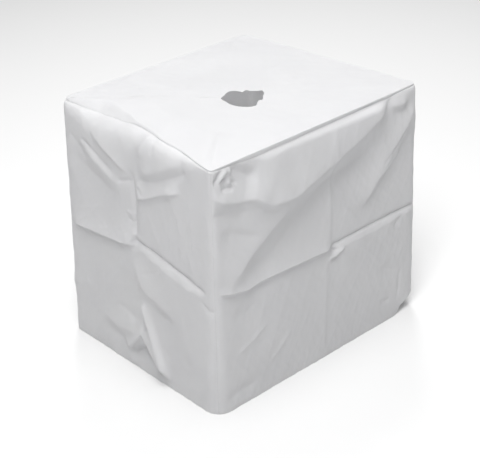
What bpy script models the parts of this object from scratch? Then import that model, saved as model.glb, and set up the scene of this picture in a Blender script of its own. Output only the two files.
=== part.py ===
"""Loose cloth cover for a ballast block: four wall panels and a top panel with a torn hole.

Units are metres and +Z is up. The origin is on the floor, under the middle of the cover.
The cloth is worked out as one grid. Its columns stand side by side round the cover and its
rows run from the hem up the wall, over the top edge and in to the hole. The seams cut that
grid into panels. Distance round the cover starts at the front corner, at -X and -Y, and grows
to the right as seen from outside, so the left wall runs from -1.0 to 0 and the front wall from
0 to 1.2.
"""
import math
from collections import namedtuple

import bpy
import numpy as np

# The block that the cover fits, and its place under the slack cover
BLOCK_LENGTH = 1.200
BLOCK_WIDTH = 1.000
BLOCK_HEIGHT = 1.160
BLOCK_SHIFT_X = -0.003

# The cloth and its seams
CLOTH_THICKNESS = 0.002
SEAM_GAP = 0.0004

# How far the slack cover stands off the block at each corner, at the hem and at the top,
# and how round the corner is there. side_x and side_y say which corner it is.
Corner = namedtuple("Corner", "name side_x side_y foot_x foot_y top_x top_y top_rise foot_round top_round")
CORNERS = (
    Corner("front", -1, -1, -0.019, 0.013, -0.008, 0.000, -0.004, 0.080, 0.022),
    Corner("right", 1, -1, 0.046, -0.026, 0.002, -0.016, -0.007, 0.060, 0.035),
    Corner("back", 1, 1, 0.022, 0.015, -0.040, 0.023, -0.011, 0.060, 0.050),
    Corner("left", -1, 1, -0.011, 0.014, 0.029, -0.008, 0.009, 0.038, 0.042),
)

# The wall panels in order round the cover. Each runs from one corner's seam to the next.
# columns counts the grid columns along its straight part.
Panel = namedtuple("Panel", "name start_round length columns")
PANELS = (
    Panel("wall_panel_front", 0.0, BLOCK_LENGTH, 27),
    Panel("wall_panel_right", BLOCK_LENGTH, BLOCK_WIDTH, 11),
    Panel("wall_panel_back", BLOCK_LENGTH + BLOCK_WIDTH, BLOCK_LENGTH, 13),
    Panel("wall_panel_left", 2 * BLOCK_LENGTH + BLOCK_WIDTH, BLOCK_WIDTH, 22),
)
TOP_PANEL = "top_panel"
GIRTH = 2 * (BLOCK_LENGTH + BLOCK_WIDTH)
CORNER_COLUMNS = 3

# The crease round the middle, where the cover was folded for storage. The rows follow it.
StoragePoint = namedtuple("StoragePoint", "around up")
STORAGE_CREASE = (
    StoragePoint(-1.00, 0.585),
    StoragePoint(-0.88, 0.600),
    StoragePoint(-0.57, 0.632),
    StoragePoint(-0.50, 0.665),
    StoragePoint(-0.38, 0.660),
    StoragePoint(-0.20, 0.630),
    StoragePoint(0.00, 0.592),
    StoragePoint(0.16, 0.566),
    StoragePoint(0.63, 0.553),
    StoragePoint(0.67, 0.572),
    StoragePoint(1.20, 0.572),
    StoragePoint(1.70, 0.588),
    StoragePoint(2.20, 0.580),
    StoragePoint(2.80, 0.572),
    StoragePoint(3.40, 0.585),
)
# Heights of the rows below and above the crease, as shares of the way to the hem or shoulder
ROWS_BELOW = (1.0, 0.84, 0.68, 0.53, 0.39, 0.27, 0.17, 0.095, 0.04)
ROWS_ABOVE = (0.04, 0.095, 0.17, 0.27, 0.38, 0.50, 0.62, 0.74, 0.87, 1.0)
ROWS_SHOULDER = (0.40, 0.72, 1.0)
ROWS_TOP = (0.06, 0.20, 0.42, 0.66, 0.88, 1.0)

# The top edge. ridge_in is how far the edge of the top lies inside the block's edge. From
# there a narrow band of the top panel goes band_out outwards and band_drop down to the seam.
# The wall starts at the seam and reaches its upright run shoulder_drop below the edge.
EdgePoint = namedtuple("EdgePoint", "around ridge_in band_out band_drop shoulder_drop")
TOP_EDGE = (
    EdgePoint(-1.00, 0.016, 0.004, 0.012, 0.050),
    EdgePoint(-0.90, 0.070, 0.034, 0.022, 0.090),
    EdgePoint(-0.80, 0.126, 0.060, 0.032, 0.125),
    EdgePoint(-0.66, 0.104, 0.036, 0.022, 0.120),
    EdgePoint(-0.54, 0.080, 0.010, 0.009, 0.105),
    EdgePoint(-0.28, 0.045, 0.006, 0.006, 0.070),
    EdgePoint(0.00, 0.003, 0.001, 0.006, 0.030),
    EdgePoint(0.08, 0.002, -0.005, 0.012, 0.042),
    EdgePoint(0.25, 0.002, -0.009, 0.024, 0.060),
    EdgePoint(0.60, 0.003, -0.008, 0.022, 0.060),
    EdgePoint(0.95, 0.004, -0.006, 0.017, 0.055),
    EdgePoint(1.20, 0.008, 0.001, 0.008, 0.035),
    EdgePoint(1.70, 0.008, -0.006, 0.018, 0.060),
    EdgePoint(2.20, 0.010, 0.001, 0.008, 0.040),
    EdgePoint(2.80, 0.010, -0.006, 0.018, 0.060),
    EdgePoint(3.40, 0.016, 0.004, 0.012, 0.050),
)

# The hem lifts off the floor at the right corner, in a straight slant with one small kink
HemPoint = namedtuple("HemPoint", "around up")
HEM_LIFT = (
    HemPoint(1.058, 0.000),
    HemPoint(1.078, 0.008),
    HemPoint(1.102, 0.040),
    HemPoint(1.178, 0.079),
    HemPoint(1.212, 0.080),
    HemPoint(1.330, 0.000),
)

# The torn hole in the top: its middle, and the ragged rim's radius in each direction
HOLE_X = -0.024
HOLE_Y = -0.085
RimPoint = namedtuple("RimPoint", "degrees radius")
HOLE_RIM = (
    RimPoint(2, 0.101),
    RimPoint(9, 0.083),
    RimPoint(28, 0.069),
    RimPoint(46, 0.077),
    RimPoint(61, 0.055),
    RimPoint(77, 0.084),
    RimPoint(92, 0.099),
    RimPoint(122, 0.095),
    RimPoint(141, 0.107),
    RimPoint(165, 0.097),
    RimPoint(202, 0.105),
    RimPoint(236, 0.112),
    RimPoint(248, 0.108),
    RimPoint(262, 0.082),
    RimPoint(280, 0.067),
    RimPoint(285, 0.079),
    RimPoint(319, 0.072),
    RimPoint(350, 0.092),
)

# Folds in the walls. Each follows its path of (around, up) points, raises the cloth by height,
# or sinks it where height is below 0, and dies away within left and right of the path, as
# seen when walking along it. fade is the length over which it dies away at its two ends.
Fold = namedtuple("Fold", "name height left right fade path")
WALL_FOLDS = (
    # Storage crease round the middle
    Fold("left_crest", 0.014, 0.060, 0.014, 0.12,
         ((-0.99, 0.585), (-0.88, 0.600), (-0.75, 0.615), (-0.48, 0.640))),
    Fold("left_trough", -0.013, 0.020, 0.014, 0.05,
         ((-0.53, 0.668), (-0.38, 0.660), (-0.20, 0.630), (-0.03, 0.598))),
    Fold("left_trough_lip", 0.009, 0.028, 0.090, 0.06,
         ((-0.52, 0.628), (-0.35, 0.608), (-0.20, 0.575), (-0.04, 0.560))),
    Fold("front_crest", 0.015, 0.055, 0.014, 0.06,
         ((0.02, 0.596), (0.16, 0.567), (0.40, 0.560), (0.66, 0.552))),
    Fold("front_trough", -0.013, 0.022, 0.014, 0.06,
         ((0.61, 0.571), (0.95, 0.577), (1.19, 0.572))),
    Fold("front_trough_lip", 0.009, 0.022, 0.060, 0.08,
         ((0.66, 0.533), (0.95, 0.530), (1.19, 0.542))),
    Fold("right_trough", -0.012, 0.024, 0.016, 0.10,
         ((1.22, 0.573), (1.72, 0.588))),
    Fold("right_crest", 0.012, 0.055, 0.016, 0.10,
         ((1.66, 0.588), (2.18, 0.580))),
    Fold("back_trough", -0.012, 0.026, 0.018, 0.10,
         ((2.22, 0.580), (2.84, 0.572))),
    Fold("back_crest", 0.013, 0.055, 0.016, 0.12,
         ((2.76, 0.572), (3.37, 0.585))),
    # Diagonal drape of the front wall
    Fold("front_main_ridge", 0.024, 0.170, 0.055, 0.10,
         ((0.14, 0.985), (0.28, 0.925), (0.42, 0.905), (0.58, 0.955), (0.80, 1.035), (1.03, 1.140))),
    Fold("front_low_ridge", 0.016, 0.090, 0.050, 0.08,
         ((0.04, 0.600), (0.20, 0.735), (0.30, 0.805), (0.44, 0.895))),
    Fold("front_main_valley", -0.020, 0.060, 0.110, 0.10,
         ((0.12, 0.625), (0.34, 0.675), (0.46, 0.780), (0.62, 0.885), (0.80, 0.905), (0.98, 0.955))),
    Fold("front_far_ridge", 0.013, 0.085, 0.030, 0.07,
         ((0.80, 0.650), (0.93, 0.785), (1.01, 0.875), (1.10, 0.975), (1.19, 1.070))),
    Fold("front_far_valley", -0.010, 0.035, 0.080, 0.07,
         ((0.78, 0.630), (0.92, 0.715), (1.05, 0.840), (1.18, 0.970))),
    Fold("front_pouch", 0.015, 0.055, 0.022, 0.04,
         ((-0.02, 1.055), (0.06, 1.002), (0.12, 0.985), (0.20, 0.975), (0.27, 0.930))),
    Fold("front_pouch_gully", -0.010, 0.026, 0.030, 0.04,
         ((0.09, 1.150), (0.15, 1.100), (0.23, 1.045))),
    Fold("front_right_pouch", 0.011, 0.035, 0.024, 0.04,
         ((0.99, 1.105), (1.07, 1.090), (1.16, 1.105))),
    Fold("front_upright_crease", 0.005, 0.022, 0.034, 0.10,
         ((0.655, 1.130), (0.650, 0.750), (0.635, 0.560), (0.620, 0.450), (0.602, 0.020))),
    Fold("front_pinch", 0.010, 0.022, 0.018, 0.03,
         ((0.63, 0.500), (0.67, 0.505), (0.73, 0.540))),
    # Folds that meet in the middle of the left wall
    Fold("left_upper_crest", 0.009, 0.050, 0.018, 0.05,
         ((-0.82, 1.095), (-0.70, 1.035), (-0.60, 0.995), (-0.51, 0.955))),
    Fold("left_middle_crest", 0.014, 0.035, 0.050, 0.05,
         ((-0.90, 1.020), (-0.80, 0.972), (-0.70, 0.930), (-0.60, 0.890), (-0.52, 0.860))),
    Fold("left_soft_trough", -0.011, 0.045, 0.100, 0.10,
         ((-0.96, 0.960), (-0.82, 0.880), (-0.70, 0.850), (-0.57, 0.840))),
    Fold("left_inner_crest", 0.013, 0.040, 0.018, 0.05,
         ((-0.50, 0.866), (-0.40, 0.900), (-0.30, 0.952), (-0.18, 1.000))),
    Fold("left_inner_shelf", 0.010, 0.070, 0.026, 0.05,
         ((-0.47, 0.975), (-0.38, 1.018), (-0.28, 1.068), (-0.17, 1.130))),
    Fold("left_upright_crease", -0.008, 0.022, 0.024, 0.06,
         ((-0.505, 1.000), (-0.495, 0.860), (-0.500, 0.700), (-0.510, 0.600))),
    Fold("left_arc", 0.014, 0.100, 0.040, 0.06,
         ((-0.505, 0.610), (-0.485, 0.500), (-0.440, 0.445), (-0.360, 0.420), (-0.220, 0.370))),
    Fold("left_arc_trough", -0.008, 0.045, 0.100, 0.08,
         ((-0.46, 0.385), (-0.38, 0.365), (-0.24, 0.320))),
    Fold("left_long_crest", 0.017, 0.032, 0.060, 0.05,
         ((-0.474, 0.385), (-0.440, 0.290), (-0.380, 0.170), (-0.300, 0.030))),
    Fold("left_star_crest", 0.012, 0.040, 0.022, 0.03,
         ((-0.60, 0.065), (-0.53, 0.140), (-0.476, 0.205), (-0.40, 0.135), (-0.33, 0.065))),
    Fold("left_star_trough", -0.013, 0.022, 0.050, 0.03,
         ((-0.59, 0.040), (-0.52, 0.098), (-0.460, 0.140), (-0.40, 0.095), (-0.34, 0.045))),
    Fold("left_low_ridge", 0.008, 0.060, 0.035, 0.08,
         ((-0.82, 0.215), (-0.66, 0.165), (-0.56, 0.190), (-0.48, 0.205))),
    Fold("left_corner_ridge", 0.007, 0.060, 0.035, 0.08,
         ((-1.06, 0.255), (-0.93, 0.275), (-0.82, 0.320))),
    # The hidden walls keep their own upright creases and one slack drape each
    Fold("right_upright_crease", 0.006, 0.025, 0.035, 0.10, ((1.70, 1.100), (1.71, 0.590), (1.68, 0.040))),
    Fold("right_drape", 0.014, 0.120, 0.060, 0.12, ((1.32, 0.660), (1.52, 0.800), (1.80, 1.020))),
    Fold("right_low_drape", -0.009, 0.070, 0.090, 0.12, ((1.45, 0.420), (1.75, 0.300), (2.05, 0.330))),
    Fold("back_upright_crease", -0.006, 0.030, 0.028, 0.10, ((2.79, 1.100), (2.81, 0.570), (2.83, 0.040))),
    Fold("back_drape", 0.015, 0.060, 0.130, 0.12, ((2.40, 1.040), (2.66, 0.870), (2.92, 0.680))),
    Fold("back_left_drape", 0.012, 0.110, 0.060, 0.12, ((2.88, 0.820), (3.08, 0.930), (3.28, 1.060))),
    Fold("back_low_drape", -0.009, 0.080, 0.080, 0.12, ((2.45, 0.250), (2.80, 0.380), (3.15, 0.300))),
)

# Folds in the top panel, with paths of (x, y) points
TOP_FOLDS = (
    Fold("top_corner_crease", 0.005, 0.030, 0.050, 0.08, ((-0.58, -0.47), (-0.46, -0.37), (-0.34, -0.26))),
    Fold("top_long_crease", -0.004, 0.050, 0.060, 0.15, ((0.49, 0.30), (0.24, 0.05), (0.06, -0.14))),
    Fold("top_left_swell", 0.007, 0.080, 0.120, 0.15, ((-0.32, 0.36), (-0.36, 0.10), (-0.44, -0.20))),
    Fold("top_back_dip", -0.006, 0.120, 0.120, 0.20, ((-0.20, 0.34), (0.10, 0.26), (0.36, 0.30))),
)
FOLD_SOFTNESS = 1.4

# Cloth finish
CLOTH_COLOUR = (0.86, 0.86, 0.87, 1.0)
CLOTH_ROUGHNESS = 0.55


def smooth_step(value):
    value = np.clip(value, 0.0, 1.0)
    return value * value * (3.0 - 2.0 * value)


def smooth_table(rows, column, around):
    """Read a column of a table by distance round, easing from each row to the next."""
    around = wrap_round(around)
    result = np.zeros_like(around)
    for low, high in zip(rows, rows[1:]):
        inside = (around >= low.around) & (around <= high.around)
        share = smooth_step((around - low.around) / (high.around - low.around))
        value = getattr(low, column) * (1 - share) + getattr(high, column) * share
        result = np.where(inside, value, result)
    return result


def wrap_round(around):
    """Bring a distance round the cover to the stretch from the left corner back to it."""
    return (np.asarray(around, dtype=float) + BLOCK_WIDTH) % GIRTH - BLOCK_WIDTH


def fold_height(folds, across, up, girth=None):
    """Sum what all folds raise the cloth by at the points (across, up)."""
    total = np.zeros_like(across)
    for fold in folds:
        path = np.array(fold.path)
        lengths = np.hypot(*np.diff(path, axis=0).T)
        starts = np.concatenate(([0.0], np.cumsum(lengths)))
        shift = across
        if girth:
            middle = path[:, 0].mean()
            shift = (across - middle + girth / 2) % girth - girth / 2 + middle
        nearest = np.full_like(across, np.inf)
        side = np.zeros_like(across)
        along = np.zeros_like(across)
        for (x0, y0), (x1, y1), length, start in zip(path, path[1:], lengths, starts):
            ux, uy = (x1 - x0) / length, (y1 - y0) / length
            run = np.clip((shift - x0) * ux + (up - y0) * uy, 0.0, length)
            off_x, off_y = shift - x0 - run * ux, up - y0 - run * uy
            distance = np.hypot(off_x, off_y)
            closer = distance < nearest
            nearest = np.where(closer, distance, nearest)
            side = np.where(closer, ux * off_y - uy * off_x, side)
            along = np.where(closer, start + run, along)
        width = np.where(side > 0, fold.left, fold.right)
        end_fade = smooth_step(along / fold.fade) * smooth_step((starts[-1] - along) / fold.fade)
        total += fold.height * end_fade * np.exp(-((nearest / width) ** FOLD_SOFTNESS))
    return total


def corner_place(corner, share):
    """Corner of the wall's outline at each height share, 0 at the hem and 1 at the top."""
    share = np.asarray(share, dtype=float)
    x = corner.side_x * BLOCK_LENGTH / 2 + BLOCK_SHIFT_X + corner.foot_x * (1 - share) + corner.top_x * share
    y = corner.side_y * BLOCK_WIDTH / 2 + corner.foot_y * (1 - share) + corner.top_y * share
    roundness = corner.foot_round * (1 - share) + corner.top_round * share
    return np.stack([x, y], axis=-1), roundness[..., None]


def unit(vectors):
    return vectors / np.linalg.norm(vectors, axis=-1, keepdims=True)


def outline_point(column, share):
    """Point, outward direction and distance round of one grid column at the height shares."""
    panel_index, part, step = column
    panel = PANELS[panel_index]
    places = [corner_place(CORNERS[(panel_index + k) % 4], share) for k in (-1, 0, 1, 2)]
    before, start, end, after = (place for place, _ in places)
    start_round, end_round = places[1][1], places[2][1]
    along = unit(end - start)
    outward = np.stack([along[..., 1], -along[..., 0]], axis=-1)
    if part == "run":
        near, far = start + along * start_round, end - along * end_round
        place = near * (1 - step) + far * step
        around = panel.start_round + start_round[..., 0] * (1 - step) + (panel.length - end_round[..., 0]) * step
        return place, outward, around
    if part == "start":
        corner, size, back = start, start_round, unit(before - start)
        ahead, corner_around = along, panel.start_round
        sides = np.stack([-back[..., 1], back[..., 0]], axis=-1), outward
    else:
        corner, size, back = end, end_round, -along
        ahead, corner_around = unit(after - end), panel.start_round + panel.length
        sides = outward, np.stack([ahead[..., 1], -ahead[..., 0]], axis=-1)
    leave, arrive = corner + back * size, corner + ahead * size
    place = leave * (1 - step) ** 2 + corner * 2 * step * (1 - step) + arrive * step ** 2
    turned = unit(sides[0] * (1 - step) + sides[1] * step)
    return place, turned, corner_around + size[..., 0] * (2 * step - 1)


def grid_columns():
    """All columns in order round the cover, and the first column of each panel."""
    columns, first = [], []
    for index, panel in enumerate(PANELS):
        first.append(len(columns))
        columns += [(index, "start", 0.5 + 0.5 * k / CORNER_COLUMNS) for k in range(CORNER_COLUMNS)]
        columns += [(index, "run", k / panel.columns) for k in range(panel.columns + 1)]
        columns += [(index, "end", 0.5 * k / CORNER_COLUMNS) for k in range(1, CORNER_COLUMNS)]
    return columns, first


def hole_point(direction):
    """Point of the hole's ragged rim in a direction, in radians, from the hole's middle."""
    degrees = math.degrees(direction) % 360
    rim = HOLE_RIM + (RimPoint(HOLE_RIM[0].degrees + 360, HOLE_RIM[0].radius),)
    if degrees < rim[0].degrees:
        degrees += 360
    radius = np.interp(degrees, [point.degrees for point in rim], [point.radius for point in rim])
    return np.array([HOLE_X + radius * math.cos(direction), HOLE_Y + radius * math.sin(direction)])


def top_height(panel_index, part, step):
    """Height of the top at a column, which runs straight from corner to corner."""
    start = BLOCK_HEIGHT + CORNERS[panel_index].top_rise
    end = BLOCK_HEIGHT + CORNERS[(panel_index + 1) % 4].top_rise
    if part == "start":
        return start
    if part == "end":
        return end
    return start * (1 - step) + end * step


def hem_height(around):
    """The hem is on the floor, but for the lifted right corner."""
    return np.interp(around, *zip(*HEM_LIFT))


def wall_rows(column):
    """Points of a column from the hem up to the end of its straight run."""
    top = top_height(*column)
    _, _, around = outline_point(column, np.array(0.5))
    crease = np.interp(wrap_round(around), *zip(*STORAGE_CREASE))
    hem = hem_height(around)
    shoulder = top - smooth_table(TOP_EDGE, "shoulder_drop", around)
    below = crease + (hem - crease) * np.array(ROWS_BELOW)
    above = crease + (shoulder - crease) * np.array(ROWS_ABOVE)
    up = np.concatenate([below, [crease], above])
    place, outward, around = outline_point(column, up / top)
    swell = fold_height(WALL_FOLDS, around, up, GIRTH)
    return np.column_stack([place + outward * swell[:, None], up])


def edge_rows(column, wall_end):
    """Points of a column over the shoulder to the seam, then up the band and in to the hole."""
    top = top_height(*column)
    place, outward, around = outline_point(column, np.array(1.0))
    ridge_in, band_out, band_drop, shoulder_drop = (
        float(smooth_table(TOP_EDGE, name, around)) for name in EdgePoint._fields[1:])
    ridge = np.append(place - outward * ridge_in, top)
    seam = np.append(place - outward * (ridge_in - band_out), top - band_drop)
    knee = np.append(place + outward * 0.004, top - band_drop - 0.10 * shoulder_drop)
    share = np.array(ROWS_SHOULDER)[:, None]
    shoulder = wall_end * (1 - share) ** 2 + knee * 2 * share * (1 - share) + seam * share ** 2
    band = (seam + ridge) / 2 + np.append(outward * 0.003, 0.0)
    rim = hole_point(math.atan2(ridge[1] - HOLE_Y, ridge[0] - HOLE_X))
    share = np.array(ROWS_TOP)[:, None]
    flat = ridge[:2] * (1 - share) + rim * share
    dip = top + (BLOCK_HEIGHT - top) * smooth_step(share[:, 0] / 0.6)
    dip = dip + fold_height(TOP_FOLDS, flat[:, 0], flat[:, 1])
    return np.vstack([shoulder, [band], [ridge], np.column_stack([flat, dip])])


def sheet_grid(columns):
    """Outer points of the whole cloth, as an array of columns by rows by (x, y, z)."""
    grid = []
    for column in columns:
        wall = wall_rows(column)
        grid.append(np.vstack([wall, edge_rows(column, wall[-1])]))
    return np.array(grid)


def sheet_normals(grid):
    """Outward direction at each grid point, the same on both sides of a seam."""
    across = np.roll(grid, -1, axis=0) - np.roll(grid, 1, axis=0)
    up = np.gradient(grid, axis=1)
    normals = np.cross(across, up)
    normals[:, 0, 2] = 0.0
    return unit(normals)


def open_seams(grid, first_column, last_column, first_row, last_row, closed):
    """Cut a panel's points out of the grid and draw its sewn edges back by half the seam gap."""
    wrapped = [index % len(grid) for index in range(first_column, last_column + (0 if closed else 1))]
    across = unit(np.roll(grid, -1, axis=0) - np.roll(grid, 1, axis=0))
    up = unit(np.gradient(grid, axis=1))
    shift = np.zeros_like(grid[wrapped])
    half = SEAM_GAP / 2
    if not closed:
        shift[0] += across[wrapped[0]] * half
        shift[-1] -= across[wrapped[-1]] * half
    if first_row > 0:
        shift[:, first_row] += up[wrapped, first_row] * half
    else:
        shift[:, last_row] -= up[wrapped, last_row] * half
    return wrapped, shift


def panel_mesh(name, grid, normals, first_column, last_column, first_row, last_row, closed=False):
    """Closed solid of one panel: an outer face, an inner one, and the cloth's cut edges."""
    wrapped, shift = open_seams(grid, first_column, last_column, first_row, last_row, closed)
    rows = slice(first_row, last_row + 1)
    outer = (grid[wrapped] + shift)[:, rows]
    inner = outer - normals[wrapped][:, rows] * CLOTH_THICKNESS
    width, height = outer.shape[:2]
    points = np.concatenate([outer.reshape(-1, 3), inner.reshape(-1, 3)])
    behind = width * height

    def index(i, j):
        return (i % width) * height + j

    faces = []
    steps = width if closed else width - 1
    for i in range(steps):
        for j in range(height - 1):
            square = [index(i, j), index(i + 1, j), index(i + 1, j + 1), index(i, j + 1)]
            faces.append(square)
            faces.append([behind + corner for corner in reversed(square)])
        for j, ends in ((0, (i, i + 1)), (height - 1, (i + 1, i))):
            a, b = index(ends[0], j), index(ends[1], j)
            faces.append([b, a, behind + a, behind + b])
    if not closed:
        for i, lows in ((0, (1, 0)), (width - 1, (0, 1))):
            for j in range(height - 1):
                a, b = index(i, j + lows[0]), index(i, j + lows[1])
                faces.append([b, a, behind + a, behind + b])
    mesh = bpy.data.meshes.new(name)
    mesh.from_pydata(points.tolist(), [], faces)
    mesh.validate()
    mesh.update()
    return mesh


def cloth_material(name):
    material = bpy.data.materials.new(name)
    material.use_nodes = True
    shader = material.node_tree.nodes["Principled BSDF"]
    shader.inputs["Base Color"].default_value = CLOTH_COLOUR
    shader.inputs["Roughness"].default_value = CLOTH_ROUGHNESS
    shader.inputs["Metallic"].default_value = 0.0
    return material


def add_panel(name, *where, **how):
    mesh = panel_mesh(name, *where, **how)
    mesh.materials.append(cloth_material(name + "_cloth"))
    panel = bpy.data.objects.new(name, mesh)
    bpy.context.collection.objects.link(panel)
    mesh.shade_smooth()
    mesh.set_sharp_from_angle(angle=math.radians(50))
    return panel


def build_cover():
    for item in list(bpy.data.objects):
        bpy.data.objects.remove(item, do_unlink=True)
    columns, first = grid_columns()
    grid = sheet_grid(columns)
    normals = sheet_normals(grid)
    seam_row = len(ROWS_BELOW) + len(ROWS_ABOVE) + len(ROWS_SHOULDER)
    last_row = grid.shape[1] - 1
    ends = first[1:] + [len(columns)]
    for panel, start, end in zip(PANELS, first, ends):
        add_panel(panel.name, grid, normals, start, end, 0, seam_row)
    add_panel(TOP_PANEL, grid, normals, 0, len(columns), seam_row, last_row, closed=True)


build_cover()
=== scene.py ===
"""Looks of the ballast block cover: fine cloth panels in their folds, seams, stitches and a studio.

The cloth is worked out as one grid, with columns side by side round the cover and rows from
the hem up the wall, over the top edge and in to the torn hole. The seams cut it into panels.
Distance round the cover starts at the front corner, at -X and -Y, and grows to the right as
seen from outside, so the left wall runs from -1.0 to 0 and the front wall from 0 to 1.2.
Metres, with +Z up and the origin on the floor under the middle of the cover.
"""
import math
from collections import namedtuple
from functools import lru_cache

import bpy
import numpy as np
from bpy.props import FloatProperty, FloatVectorProperty, PointerProperty
from mathutils import Matrix, Vector


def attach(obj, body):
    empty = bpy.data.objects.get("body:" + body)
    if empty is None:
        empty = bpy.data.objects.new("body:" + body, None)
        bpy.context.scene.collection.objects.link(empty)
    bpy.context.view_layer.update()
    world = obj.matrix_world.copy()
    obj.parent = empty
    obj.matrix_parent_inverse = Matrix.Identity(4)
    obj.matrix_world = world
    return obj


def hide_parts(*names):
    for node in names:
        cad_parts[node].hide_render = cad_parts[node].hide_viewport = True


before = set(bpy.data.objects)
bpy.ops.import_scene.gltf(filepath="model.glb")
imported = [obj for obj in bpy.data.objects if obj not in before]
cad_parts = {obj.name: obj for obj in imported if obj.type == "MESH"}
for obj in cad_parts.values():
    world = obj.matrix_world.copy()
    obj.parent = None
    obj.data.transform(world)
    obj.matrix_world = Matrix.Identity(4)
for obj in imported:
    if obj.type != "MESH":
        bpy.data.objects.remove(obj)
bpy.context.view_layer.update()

bl_info = {
    "name": "Ballast block cover",
    "version": (1, 0, 0),
    "blender": (4, 5, 0),
    "location": "View3D > Sidebar > Cover",
    "description": "Makes a loose white cloth cover for a ballast block, with folds, seams and a torn hole",
    "category": "Add Mesh",
}

BODY = "root"

# The block that the cover fits, and its place under the slack cover
BLOCK_LENGTH = 1.200
BLOCK_WIDTH = 1.000
BLOCK_HEIGHT = 1.160
BLOCK_SHIFT_X = -0.003
GIRTH = 2 * (BLOCK_LENGTH + BLOCK_WIDTH)

# How far the slack cover stands off the block at each corner, at the hem and at the top,
# and how round the corner is there. side_x and side_y say which corner it is.
Corner = namedtuple("Corner", "name side_x side_y foot_x foot_y top_x top_y top_rise foot_round top_round")
CORNERS = (
    Corner("front", -1, -1, -0.019, 0.013, -0.008, 0.000, -0.004, 0.080, 0.022),
    Corner("right", 1, -1, 0.046, -0.026, 0.002, -0.016, -0.007, 0.060, 0.035),
    Corner("back", 1, 1, 0.022, 0.015, -0.040, 0.023, -0.011, 0.060, 0.050),
    Corner("left", -1, 1, -0.011, 0.014, 0.029, -0.008, 0.009, 0.038, 0.042),
)

# The wall panels in order round the cover. Each runs from one corner's seam to the next.
# columns counts the grid columns along its straight part.
Panel = namedtuple("Panel", "name node start_round length columns")
PANELS = (
    Panel("front_wall_cloth", "wall_panel_front", 0.0, BLOCK_LENGTH, 200),
    Panel("right_wall_cloth", "wall_panel_right", BLOCK_LENGTH, BLOCK_WIDTH, 84),
    Panel("back_wall_cloth", "wall_panel_back", BLOCK_LENGTH + BLOCK_WIDTH, BLOCK_LENGTH, 96),
    Panel("left_wall_cloth", "wall_panel_left", 2 * BLOCK_LENGTH + BLOCK_WIDTH, BLOCK_WIDTH, 176),
)
TOP_PANEL = "top_cloth"
TOP_NODE = "top_panel"
CORNER_COLUMNS = 10

# The crease round the middle, where the cover was folded for storage. The rows follow it.
StoragePoint = namedtuple("StoragePoint", "around up")
STORAGE_CREASE = (
    StoragePoint(-1.00, 0.585),
    StoragePoint(-0.88, 0.600),
    StoragePoint(-0.57, 0.632),
    StoragePoint(-0.50, 0.665),
    StoragePoint(-0.38, 0.660),
    StoragePoint(-0.20, 0.630),
    StoragePoint(0.00, 0.592),
    StoragePoint(0.16, 0.566),
    StoragePoint(0.63, 0.553),
    StoragePoint(0.67, 0.572),
    StoragePoint(1.20, 0.572),
    StoragePoint(1.70, 0.588),
    StoragePoint(2.20, 0.580),
    StoragePoint(2.80, 0.572),
    StoragePoint(3.40, 0.585),
)
ROWS_BELOW = 80
ROWS_ABOVE = 84
ROWS_SHOULDER = 20
ROWS_BAND = 8
ROWS_TOP = 54
CREASE_CROWDING = 1.30
SEAM_CROWDING = 1.6

# The top edge. ridge_in is how far the edge of the top lies inside the block's edge. From
# there a narrow band of the top panel goes band_out outwards and band_drop down to the seam.
# The wall starts at the seam and reaches its upright run shoulder_drop below the edge.
EdgePoint = namedtuple("EdgePoint", "around ridge_in band_out band_drop shoulder_drop")
TOP_EDGE = (
    EdgePoint(-1.00, 0.016, 0.004, 0.012, 0.050),
    EdgePoint(-0.90, 0.070, 0.034, 0.022, 0.090),
    EdgePoint(-0.80, 0.126, 0.060, 0.032, 0.125),
    EdgePoint(-0.66, 0.104, 0.036, 0.022, 0.120),
    EdgePoint(-0.54, 0.080, 0.010, 0.009, 0.105),
    EdgePoint(-0.28, 0.045, 0.006, 0.006, 0.070),
    EdgePoint(0.00, 0.003, 0.001, 0.006, 0.030),
    EdgePoint(0.08, 0.002, -0.001, 0.012, 0.060),
    EdgePoint(0.25, 0.002, -0.001, 0.022, 0.130),
    EdgePoint(0.60, 0.003, -0.001, 0.020, 0.130),
    EdgePoint(0.95, 0.004, 0.000, 0.016, 0.090),
    EdgePoint(1.20, 0.008, 0.001, 0.008, 0.035),
    EdgePoint(1.70, 0.008, -0.006, 0.018, 0.060),
    EdgePoint(2.20, 0.010, 0.001, 0.008, 0.040),
    EdgePoint(2.80, 0.010, -0.006, 0.018, 0.060),
    EdgePoint(3.40, 0.016, 0.004, 0.012, 0.050),
)
KNEE_OUT = 0.002
KNEE_DROP_SHARE = 0.10
BAND_BULGE = 0.001

# The top's rows crowd this much towards its edge and the hole, and it is level from this share in
TOP_ROW_EASING = 0.35
TOP_LEVEL_FROM = 0.6

# The hem lifts off the floor at the right corner, in a straight slant with one small kink
HemPoint = namedtuple("HemPoint", "around up")
HEM_LIFT = (
    HemPoint(1.058, 0.000),
    HemPoint(1.078, 0.008),
    HemPoint(1.102, 0.040),
    HemPoint(1.178, 0.079),
    HemPoint(1.212, 0.080),
    HemPoint(1.330, 0.000),
)

# The torn hole in the top: its middle, and the ragged rim's radius in each direction
HOLE_X = -0.024
HOLE_Y = -0.085
RimPoint = namedtuple("RimPoint", "degrees radius")
HOLE_RIM = (
    RimPoint(2, 0.101),
    RimPoint(9, 0.083),
    RimPoint(28, 0.069),
    RimPoint(46, 0.077),
    RimPoint(61, 0.055),
    RimPoint(77, 0.084),
    RimPoint(92, 0.099),
    RimPoint(122, 0.095),
    RimPoint(141, 0.107),
    RimPoint(165, 0.097),
    RimPoint(202, 0.105),
    RimPoint(236, 0.112),
    RimPoint(248, 0.108),
    RimPoint(262, 0.082),
    RimPoint(280, 0.067),
    RimPoint(285, 0.079),
    RimPoint(319, 0.072),
    RimPoint(350, 0.092),
)
FRAY = 0.0016

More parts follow.
